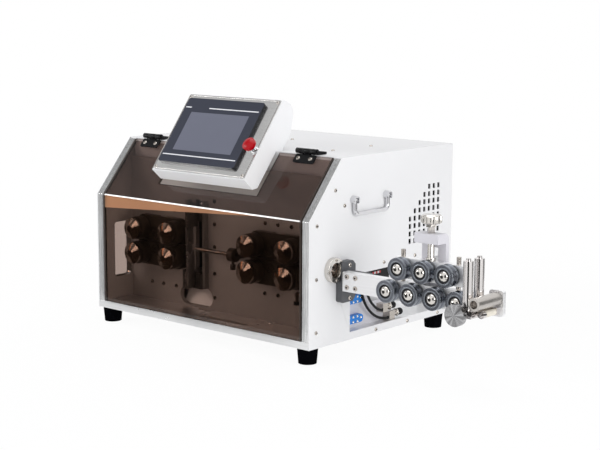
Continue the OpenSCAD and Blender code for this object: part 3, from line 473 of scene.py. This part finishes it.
# A darker copy of the plate's steel for its folded lip: painted shade along the fold.
lip_shaded_steel = brushed("lip_shaded_steel", (0.40, 0.385, 0.375), 0.15, 0.12, (8.0, 420.0, 420.0), 0.01)
steel = brushed("ground_steel", (0.60, 0.59, 0.575), 0.16, 0.26, (160.0, 160.0, 160.0))
nickel = brushed("nickel", (0.52, 0.48, 0.44), 0.12, 0.24, (220.0, 220.0, 220.0))
bright_nickel = brushed("bright_nickel", (0.72, 0.69, 0.65), 0.10, 0.16, (220.0, 220.0, 220.0))
chrome = brushed("chrome", (0.70, 0.70, 0.72), 0.04, 0.06, (120.0, 120.0, 120.0), 0.01)
cone_chrome = brushed("cone_chrome", (0.66, 0.60, 0.54), 0.08, 0.12, (160.0, 160.0, 160.0), 0.02)
fair_steel = brushed("fair_steel", (0.76, 0.73, 0.72), 0.12, 0.14, (260.0, 260.0, 12.0), 0.03)
tube_satin = brushed("tube_satin", (0.60, 0.57, 0.54), 0.12, 0.32, (260.0, 12.0, 260.0))
roller_steel = brushed("roller_steel", (0.18, 0.19, 0.22), 0.2, 0.27, (260.0, 260.0, 260.0))
roller_rim = brushed("roller_rim", (0.26, 0.28, 0.31), 0.15, 0.28, (260.0, 260.0, 260.0))
# Dark steel for the hex sockets in the roller bolts: painted shade in the recesses.
socket_shade_steel = brushed("socket_shade_steel", (0.10, 0.095, 0.09), 0.15, 0.4, (260.0, 260.0, 260.0))
print("finishes", len(bpy.data.materials))

# %% [markdown]
# ## Smoked acrylic
# The cover is a bent sheet of brown acrylic. A clear shader alone would leave the inside dark,
# because lamps cannot find their way through a refracting sheet. So the rays that carry light see
# a faint brown tint instead, and the eye sees the glossy sheet.


# %% Smoked acrylic
def smoked(name, colour, shade, haze_low, haze_high, clear=1.0):
    """A tinted clear sheet that lets lamps shine through it."""
    look, tree, shader = blank(name)
    shader.inputs["Base Color"].default_value = (*colour, 1)
    shader.inputs["Transmission Weight"].default_value = clear
    shader.inputs["IOR"].default_value = 1.3
    open_way = add(tree, "ShaderNodeBsdfTransparent", Color=(*shade, 1))
    path = add(tree, "ShaderNodeLightPath")
    lighting = add(tree, "ShaderNodeMath", operation="MAXIMUM")
    pick = add(tree, "ShaderNodeMixShader")
    tree.links.new(path.outputs["Is Shadow Ray"], lighting.inputs[0])
    tree.links.new(path.outputs["Is Diffuse Ray"], lighting.inputs[1])
    tree.links.new(lighting.outputs[0], pick.inputs[0])
    tree.links.new(shader.outputs[0], pick.inputs[1])
    tree.links.new(open_way.outputs[0], pick.inputs[2])
    tree.links.new(pick.outputs[0], tree.nodes["Material Output"].inputs[0])
    haze = add(tree, "ShaderNodeGroup", node_tree=peel)
    haze.inputs["Scale"].default_value = 30.0
    between(tree, haze.outputs["Cloud"], haze_low, haze_high, shader.inputs["Roughness"])
    return look


acrylic = smoked("smoked_acrylic", (0.37, 0.285, 0.248), (0.95, 0.92, 0.90), 0.0, 0.012)
# The amber band below the bend is painted light.
acrylic_painted_glow = smoked("painted_glow_acrylic", (0.64, 0.35, 0.205), (0.97, 0.93, 0.88), 0.0, 0.02, 0.62)
# The slope is the same sheet made darker: painted shade, against the brighter light that falls inside behind
# it.
acrylic_slope_shade = smoked("slope_acrylic_shade", (0.24, 0.178, 0.16), (0.95, 0.92, 0.90), 0.0, 0.012)
# The round on the bend is painted near white: a painted highlight.
acrylic_bend_highlight = grained("acrylic_bend_highlight", (0.92, 0.90, 0.88), 0.05, 0.2, 300.0, 0.02, 0.6)
# The cut edges and a narrow strip at each end of the sheet are painted dark: painted shade of the gap beside
# the frame.
acrylic_edge_shade = grained("acrylic_edge_shade", (0.035, 0.022, 0.016), 0.2, 0.2, 500.0, 0.02, 0.5)
print("cover finish", acrylic.name)

# %% [markdown]
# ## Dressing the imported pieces
# Most pieces are one material, and simply get it. Some carry two or three, such as a bolt in a
# black ring, and there each face takes the finish that belongs to where it is.


# %% Whole pieces
def dress(node, *finishes):
    """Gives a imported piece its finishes, first one everywhere."""
    mesh = nodes[node].data
    mesh.materials.clear()
    for finish in finishes:
        mesh.materials.append(finish)
    return mesh


def dress_by(node, choose, *finishes):
    """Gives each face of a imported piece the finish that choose(x, y, z) names, in machine millimetres."""
    mesh = dress(node, *finishes)
    for face in mesh.polygons:
        face.material_index = choose(*in_mm(face.center))


def soften(node, width, angle=35):
    """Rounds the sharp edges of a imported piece."""
    join = nodes[node].modifiers.new("join", "WELD")
    join.merge_threshold = 0.00001
    edge = nodes[node].modifiers.new("edge", "BEVEL")
    edge.width = width / 1000
    edge.segments = 2
    edge.limit_method = "ANGLE"
    edge.angle_limit = math.radians(angle)
    edge.miter_outer = "MITER_ARC"
    edge.harden_normals = True


whole = {
    "base_plate": base_aluminium, "main_plate": plate_brown,
    "rubber_feet": black_rubber,
    "operator_box": box_white, "operator_plate": stainless_plate, "stop_collar": chrome,
    "hinge_bases": black_hinge, "lower_feed_blocks": black_anodised, "slide_rails": rail_brown,
    "drive_motors": motor_grey, "inlet_bush": bright_nickel,
    "handle_bosses": chrome, "straightener_bracket": grey_bracket, "straightener_arm": arm_aluminium,
    "straightener_gantry": cast_grey, "air_tubes": tube_black,
    "infeed_upper_block": black_anodised, "outfeed_upper_block": black_anodised,
    "blade_screw": steel, "adjuster": bright_nickel, "right_handle": chrome, "left_handle": chrome,
    "fairlead_front": fair_steel, "fairlead_rear": fair_steel, "fairlead_tube": tube_satin,
}
for node, finish in whole.items():
    dress(node, finish)
print("whole pieces", len(whole))

# %% [markdown]
# A piece of several materials is sorted face by face. Each choice below reads where a face lies,
# in millimetres from the base's front lower edge, and answers with the number of a finish.

# %% Mixed pieces
slope = math.atan2(105, 89)
tilt = math.radians(52.6)
bend_z = 228
panel_y, panel_z = 2, 288
blade_x = -70
front_y = 64.1
frame_inside, panel_inside, rear_inside, top_inside = 258.6, 273.1, 426.1, 331.1
bay_top, window_top, flange_back = 145, 200, 92
rim_width = 1.3


def over_slope(x, y, z):
    """Along and above the sloping front, in millimetres."""
    up = z - bend_z
    return y * math.cos(slope) + up * math.sin(slope), up * math.cos(slope) - y * math.sin(slope)


def over_panel(x, y, z):
    """Up and off the operator panel's front, in millimetres."""
    back, up = y - panel_y, z - panel_z
    return back * math.cos(tilt) + up * math.sin(tilt), up * math.cos(tilt) - back * math.sin(tilt)


def on_hinge_screw(x, y, z):
    leaf_face, knuckle = 2.52, 131.5
    along, off = over_slope(x, y, z)
    return 1 if off > leaf_face and along < knuckle else 0


def on_display(x, y, z):
    left, right, low, high = -84.95, 64.95, 44.05, 128.95
    glass_back, glass_face, bezel_face = 6.2, 7.4, 7.2
    up, off = over_panel(x, y, z)
    if glass_back < off < glass_face and left < x < right and low < up < high:
        return 1
    return 2 if off < bezel_face else 0


def on_stem(x, y, z):
    head_back = 13.4
    return 1 if over_panel(x, y, z)[1] < head_back else 0


def on_valve(x, y, z):
    rack_face, between_z, caps_top = 255.2, 31.5, 60
    low_cap_y, high_cap_y = 266.1, 244.1
    if x < rack_face:
        return 2
    in_low_cap = z < between_z and y > low_cap_y
    in_high_cap = between_z < z < caps_top and y > high_cap_y
    return 1 if in_low_cap or in_high_cap else 0


def on_electrics(x, y, z):
    terminal_x, terminal_y, terminal_top = 254, 100, 77
    rod_y, rod_z = 40, 80.1
    if x > terminal_x and y > terminal_y and z < terminal_top:
        return 1
    return 2 if 0 < y < rod_y and z > rod_z else 0


def on_frame(x, y, z):
    block_y, spacer_x, spacer_top = 91.9, 594, 111
    spacer_front, spacer_back = 55.1, 83.9
    if y > block_y:
        return 2
    return 1 if x > spacer_x and z < spacer_top and spacer_front < y < spacer_back else 0


def on_core(x, y, z):
    arm_y, ring_y = 64.9, 45.5
    socket_front, socket_back, socket_radius = 40.5, 43.1, 3.1
    first, pitch, low_row, high_row = 405.7, 48, 117.6, 159.4
    if y > arm_y:
        return 0
    if y > ring_y:
        return 2
    half = pitch / 2 if z > (low_row + high_row) / 2 else 0
    near = (x - first - half + pitch / 2) % pitch - pitch / 2
    height = z - (high_row if half else low_row)
    return 3 if socket_front < y < socket_back and math.hypot(near, height) < socket_radius else 1


def on_wheel(x, y, z):
    cone_y = 37.1
    return 0 if y < cone_y else (1 if y < front_y else 2)


def on_blade(x, y, z):
    half_blade = 2.3
    return 1 if y < front_y and abs(x - blade_x) < half_blade else 0


# The faces behind the slot near the blade take the painted reflection.
def on_chute(x, y, z):
    half_chute, chute_top = 50, 80
    return 1 if abs(x - blade_x) < half_chute and z < chute_top else 0


def on_guide(x, y, z):
    pipe_end, thumb_top = 37.4, 122.9
    return 0 if (x < pipe_end or z < thumb_top) else 1


def rim_of(hub, radius):
    """A choice that tells a roller's rim from the rest of it."""
    return lambda x, y, z: 1 if math.hypot(x - hub.x, z - hub.z) > radius else 0


for name in nodes:
    if "_wheel_" in name:
        dress_by(name, on_wheel, cone_chrome, black_anodised, steel)
    if "_roller_" in name:
        low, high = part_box(name)
        hub = in_mm((low + high) / 2)
        rim = (high.x - low.x) * 500 - rim_width
        dress_by(name, rim_of(hub, rim), roller_steel, roller_rim)
dress_by("side_frames", lambda x, y, z: 1 if abs(x) < frame_inside else 0, frame_aluminium, wall_brown)
# The inside faces of the panels are painted near black as shade.
paint_and_shade = (white_powder, painted_shade_black)
dress_by("right_panel", lambda x, y, z: 1 if x < panel_inside and z > bay_top else 0, *paint_and_shade)
dress_by("left_panel", lambda x, y, z: 1 if x > -panel_inside and z > window_top else 0, *paint_and_shade)
dress_by("rear_panel", lambda x, y, z: 1 if y < rear_inside else 0, *paint_and_shade)
dress_by("top_cover", lambda x, y, z: 1 if z < top_inside and y > flange_back else 0, *paint_and_shade)
dress_by("drive_housings", on_chute, motor_grey, chute_painted_reflection)
for name in ("upper_blade_carrier", "lower_blade_carrier"):
    dress_by(name, on_blade, carrier_dark, steel)
dress_by("cover_hinges", on_hinge_screw, black_hinge, nickel)
dress_by("touch_panel", on_display, bezel_charcoal, display_grey, black_plastic)
dress_by("stop_button", on_stem, stop_red, chrome)
dress_by("wire_guide", on_guide, steel, black_anodised)
dress_by("straightener_pins", on_core, nickel, bright_nickel, black_plastic, socket_shade_steel)
dress_by("straightener_slide", on_core, arm_aluminium, bright_nickel, black_plastic, socket_shade_steel)
dress_by("fairlead_frame", on_frame, fair_steel, ivory_spacer, arm_aluminium)
dress_by("air_valves", on_valve, nickel, black_plastic, cast_grey)
dress_by("electrics", on_electrics, black_plastic, blue_terminal, steel)
knob_low, knob_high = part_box("clamp_knob")
knob_hub = (knob_low + knob_high) / 2
# The clamp's colour swings strongly with the fan: a painted highlight.
clamp_turned = turned_metal("clamp_turned", (0.54, 0.54, 0.55), 0.72, 0.24, knob_hub, (1.0, 0.0, 1.0), 0.02)
dress("clamp_knob", clamp_turned)
print("mixed pieces done")

# %% [markdown]
# All the panel screws are one imported piece. Faces that hang together make one screw, and those
# close to its axis are its socket, painted near black as shade.


# %% Sockets of the screws
def lumps(mesh):
    """Lists of faces that hang together, one list for each separate lump."""
    bm = bmesh.new()
    bm.from_mesh(mesh)
    row = bm.faces.layers.int.new("row")
    for face in bm.faces:
        face[row] = face.index
    bmesh.ops.remove_doubles(bm, verts=bm.verts, dist=0.000001)
    left = set(bm.faces)
    found = []
    while left:
        edge = [left.pop()]
        group = []
        while edge:
            face = edge.pop()
            group.append(face[row])
            near = {f for v in face.verts for f in v.link_faces} & left
            left -= near
            edge.extend(near)
        found.append(group)
    bm.free()
    return found


screws = dress("panel_screws", nickel, painted_shade_black, pale_screw)
box_half, box_low, box_back = 122, 280, 120
socket_share = 0.42
for group in lumps(screws):
    faces = [screws.polygons[row] for row in group]
    seat = max(faces, key=lambda face: face.area)
    spots = [screws.vertices[v].co for face in faces for v in face.vertices]
    middle = sum(spots, Vector()) / len(spots)
    axis = seat.normal
    reach = max(((spot - middle) - axis * (spot - middle).dot(axis)).length for spot in spots)
    spot = in_mm(middle)
    pale = abs(spot.x) < box_half and spot.z > box_low and spot.y < box_back
    for face in faces:
        out = (face.center - middle) - axis * (face.center - middle).dot(axis)
        face.material_index = 1 if out.length < socket_share * reach else (2 if pale else 0)
print("screw lumps", len(lumps(screws)))

# %% [markdown]
# ## Softer edges
# A solid model has knife edges, and nothing real does. A narrow bevel on each visible piece
# catches a thin line of light, which is most of what makes a render look like a photo.

# %% Softer edges
rounding = {
    "base_plate": 0.8, "side_frames": 0.6, "operator_box": 2.2, "operator_plate": 0.3, "touch_panel": 0.5,
    "straightener_arm": 0.8, "straightener_gantry": 1.2, "straightener_bracket": 0.8, "rubber_feet": 1.5,
    "lower_feed_blocks": 0.8, "infeed_upper_block": 0.8, "outfeed_upper_block": 0.8, "clamp_knob": 1.0,
    "adjuster": 0.5, "straightener_slide": 0.6, "right_panel": 0.4, "top_cover": 0.5, "inlet_bush": 0.8,
    "stop_collar": 0.4, "stop_button": 0.8, "handle_bosses": 0.8, "hinge_bases": 0.5, "cover_hinges": 0.5,
}
for node, width in rounding.items():
    soften(node, width)
print("softened", len(rounding))

# %% [markdown]
# ## Pieces added to the solid model
# The rest is modelled here. Each piece is drawn in millimetres, then placed by a matrix, and it
# rides the body that it sits on, so it moves when that body does.


# %% Modelling helpers
def facing_out(x, y, z, direction):
    """A place on the machine whose local Z points along a direction, with local units of millimetres."""
    spin = Vector(direction).to_track_quat("Z", "Y").to_matrix().to_4x4()
    return Matrix.Translation(at(x, y, z)) @ spin @ Matrix.Scale(0.001, 4)


def on_panel():
    """The operator panel's own place: X across, Y up the panel and Z off it, in millimetres."""
    lean = Matrix.Rotation(tilt, 4, "X")
    return Matrix.Translation(at(0, panel_y, panel_z)) @ lean @ Matrix.Scale(0.001, 4)


def slab(bm, low, high, place, edge, index=0):
    """A block between two corners, with rounded edges."""
    made = bmesh.ops.create_cube(bm, size=1)["verts"]
    low, high = Vector(low), Vector(high)
    bmesh.ops.scale(bm, vec=high - low, verts=made)
    bmesh.ops.translate(bm, vec=(high + low) / 2, verts=made)
    bmesh.ops.transform(bm, matrix=place, verts=made)
    for face in {f for v in made for f in v.link_faces}:
        face.material_index = index
    edges = list({e for v in made for e in v.link_edges})
    bmesh.ops.bevel(bm, geom=edges, offset=edge / 1000, segments=2, profile=0.5, affect="EDGES",
                    material=-1)


def lathe(bm, outline, place, steps=32, index=0):
    """An outline of (radius, height) points, spun round the place's Z."""
    before = set(bm.faces)
    ring = [bm.verts.new(place @ Vector((radius, 0, height))) for radius, height in outline]
    edges = [bm.edges.new(pair) for pair in zip(ring, ring[1:])]
    axis = (place.to_3x3() @ Vector((0, 0, 1))).normalized()
    bmesh.ops.spin(bm, geom=ring + edges, cent=place.translation, axis=axis, angle=math.tau, steps=steps,
                   use_merge=True)
    for face in set(bm.faces) - before:
        face.material_index = index
        face.smooth = True


def new_piece(bm, name, body, kind, *finishes):
    """Closes a mesh into an object that rides a body. The kind is not used."""
    bmesh.ops.remove_doubles(bm, verts=bm.verts, dist=0.000002)
    bmesh.ops.recalc_face_normals(bm, faces=bm.faces)
    mesh = bpy.data.meshes.new(name)
    bm.to_mesh(mesh)
    bm.free()
    for finish in finishes:
        mesh.materials.append(finish)
    piece = bpy.data.objects.new(name, mesh)
    bpy.context.collection.objects.link(piece)
    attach(piece, body)
    print("piece", name, len(mesh.polygons))
    return piece


# %% [markdown]
# ### The acrylic cover
# One bent sheet: a surface of flat cells first, then a wall thickness, then a round on the bend.
# A band below the bend shows amber light, so a plane cuts it off and it takes an amber finish that
# is painted light.

# %% Acrylic cover
cover_low, cover_high = (in_mm(corner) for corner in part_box("front_cover"))
notch_s, notch_x, wall = 39.1, 128, 5
top_s = cover_high.y / math.cos(slope)
# The faces of the round on the bend take a painted highlight.
rim, bend_round, bend_reach = 3.5, 2.6, 8
band_end, drop_left, drop_right = 150, 26, 2
across = [cover_low.x, cover_low.x + rim, -notch_x, notch_x, cover_high.x - rim, cover_high.x]
along = [cover_low.z - bend_z, 0, notch_s, top_s]
bm = bmesh.new()


def on_sheet(x, s):
    """A point on the outside of the sheet, s millimetres up from the bend."""
    if s < 0:
        return at(x, 0, bend_z + s)
    return at(x, s * math.cos(slope), bend_z + s * math.sin(slope))


corners = [[bm.verts.new(on_sheet(x, s)) for x in across] for s in along]
for row in range(3):
    for column in range(5):
        if row == 2 and column == 2:
            continue
        lower, upper = corners[row], corners[row + 1]
        bm.faces.new((lower[column], lower[column + 1], upper[column + 1], upper[column]))
bmesh.ops.recalc_face_normals(bm, faces=bm.faces)
if bm.faces[0].normal.y > 0:
    bmesh.ops.reverse_faces(bm, faces=bm.faces)
bmesh.ops.solidify(bm, geom=bm.faces[:], thickness=wall / 1000)


def on_bend(vert):
    """Whether a corner lies on the outside of the bend."""
    spot = in_mm(vert.co)
    return abs(spot.y) < 0.1 and abs(spot.z - bend_z) < 0.1


bend = [e for e in bm.edges if all(on_bend(v) for v in e.verts)]
bmesh.ops.bevel(bm, geom=bend, offset=bend_round / 1000, segments=4, profile=0.5, affect="EDGES",
                material=-1)
band_left, band_right = at(-256, 0, bend_z - drop_left), at(band_end, 0, bend_z - drop_right)
band_up = Vector((0, -1, 0)).cross(band_right - band_left).normalized()
band_up = band_up if band_up.z > 0 else -band_up
every_part = bm.verts[:] + bm.edges[:] + bm.faces[:]
bmesh.ops.bisect_plane(bm, geom=every_part, plane_co=band_left, plane_no=band_up)
up_slope = Vector((0, -math.sin(slope), math.cos(slope)))
bm.normal_update()
for face in bm.faces:
    centre = in_mm(face.calc_center_median())
    flat_front = abs(face.normal.y) > 0.99
    above = (face.calc_center_median() - band_left).dot(band_up) > 0
    flat_slope = abs(face.normal.dot(up_slope)) > 0.99
    bent = abs(face.normal.x) < 0.01 and abs(centre.z - bend_z) < bend_reach
    dark = not cover_low.x + rim < centre.x < cover_high.x - rim
    if flat_front:
        finish = 1 if above else 0
    elif flat_slope:
        finish = 4
    else:
        finish = 3 if bent else 2
    face.material_index = 2 if dark else finish
cover_finishes = (acrylic, acrylic_painted_glow, acrylic_edge_shade, acrylic_bend_highlight, acrylic_slope_shade)
cover = new_piece(bm, "acrylic_cover", "cover", "smoked_acrylic", *cover_finishes)
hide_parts("front_cover")

# %% [markdown]
# ### Lip of the operator plate
# The bright plate has a folded lip all round. It is a thin frame: four walls, mitred by one inset
# of a flat sheet, then raised and rounded.

# %% Plate lip
bm = bmesh.new()
plate_half, plate_low, plate_top, plate_face = 115.8, 4.2, 168.8, 1.5
lip, lip_rise, lip_round = 2.4, 0.9, 0.35
outline = ((-plate_half, plate_low), (plate_half, plate_low),
           (plate_half, plate_top), (-plate_half, plate_top))
flat = bm.faces.new([bm.verts.new((x, up, plate_face)) for x, up in outline])
bmesh.ops.inset_region(bm, faces=[flat], thickness=lip, use_boundary=True)
bmesh.ops.delete(bm, geom=[flat], context="FACES_ONLY")
raised = bmesh.ops.extrude_face_region(bm, geom=bm.faces[:])["geom"]
raised_verts = [v for v in raised if isinstance(v, bmesh.types.BMVert)]
bmesh.ops.translate(bm, vec=(0, 0, lip_rise), verts=raised_verts)
sharp = [e for e in bm.edges if e.calc_face_angle(0) > 1.0]
bmesh.ops.bevel(bm, geom=sharp, offset=lip_round, segments=2, profile=0.5, affect="EDGES", material=-1)
bmesh.ops.transform(bm, matrix=on_panel(), verts=bm.verts)
new_piece(bm, "plate_lip", "machine", "steel", lip_shaded_steel)

# %% [markdown]
# ### Lines on the bezel
# Three thin raised bars lie above and below the display.

# %% Bezel lines
bm = bmesh.new()
half_line, line_back, line_face = 1.1, 7.3, 7.75
for x0, x1, up in ((-104, 84, 33), (-105, -90, 139), (-43, 83, 139)):
    slab(bm, (x0, up - half_line, line_back), (x1, up + half_line, line_face), on_panel(), 0.15)
new_piece(bm, "bezel_lines", "machine", "screen_plastic", mark_grey)

# %% [markdown]
# ### Small parts in the bay
# Screws on the blue terminals, a striped tag on the dark case, ridged caps on the two regulators.

# %% Bay parts
bm = bmesh.new()
terminal_face, valve_x = 265, 263
dish = [(0, 0.3), (1.3, 0.3), (1.5, 0.9), (2.1, 0.9), (2.4, 0.5), (2.4, -0.3)]
for y, z in ((124, 36), (136, 36), (148, 36), (158, 33), (124, 27), (136, 27), (148, 27),
             (124, 73), (136, 73), (148, 73), (158, 70), (124, 64), (136, 64), (148, 64)):
    lathe(bm, dish, facing_out(terminal_face, y, z, (1, 0, 0)), 16)
new_piece(bm, "terminal_screws", "machine", "valve_metal", bright_nickel)

bm = bmesh.new()
level = Matrix.Translation(at(0, 0, 0)) @ Matrix.Scale(0.001, 4)
stripe = 5
for count, y in enumerate(range(211, 236, stripe)):
    slab(bm, (249.9, y, 103), (250.5, y + stripe, 107), level, 0.08, count % 2)
new_piece(bm, "case_stripes", "machine", "red_plastic", mark_red, mark_white)

bm = bmesh.new()
ribs = 20
for y, z in ((272, 24), (250, 40)):
    cap = facing_out(valve_x, y, z, (0, 1, 0))
    for turn_step in range(ribs):
        angle = math.tau * turn_step / ribs
        rib = cap @ Matrix.Rotation(angle, 4, "Z")
        slab(bm, (5.9, -0.45, 0.6), (6.6, 0.45, 9.4), rib, 0.15)
new_piece(bm, "regulator_ribs", "machine", "black_plastic", black_plastic)

bm = bmesh.new()
nut = [(4.4, -0.2), (7.4, -0.2), (7.9, 0.3), (7.9, 2.4), (7.4, 2.9), (4.4, 2.9)]
for y, z in ((266, 24), (244, 40)):
    lathe(bm, nut, facing_out(valve_x, y, z, (0, 1, 0)), 6)
new_piece(bm, "regulator_nuts", "machine", "valve_metal", bright_nickel)

# %% [markdown]
# ### Seals on the straightening rollers
# Each roller is a ball bearing with a groove. A thin bright shield covers its balls.

# %% Roller seals
seal = [(12.3, -0.2), (12.3, 0.35), (12.9, 0.5), (14.2, 0.5), (14.6, 0.25), (14.6, -0.2)]
for name in [n for n in nodes if "_roller_" in n]:
    low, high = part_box(name)
    hub = in_mm((low + high) / 2)
    face_y = in_mm(low).y
    bm = bmesh.new()
    lathe(bm, seal, facing_out(hub.x, face_y, hub.z, (0, -1, 0)), 48)
    new_piece(bm, name + "_seal", name, "roller_steel", roller_rim)
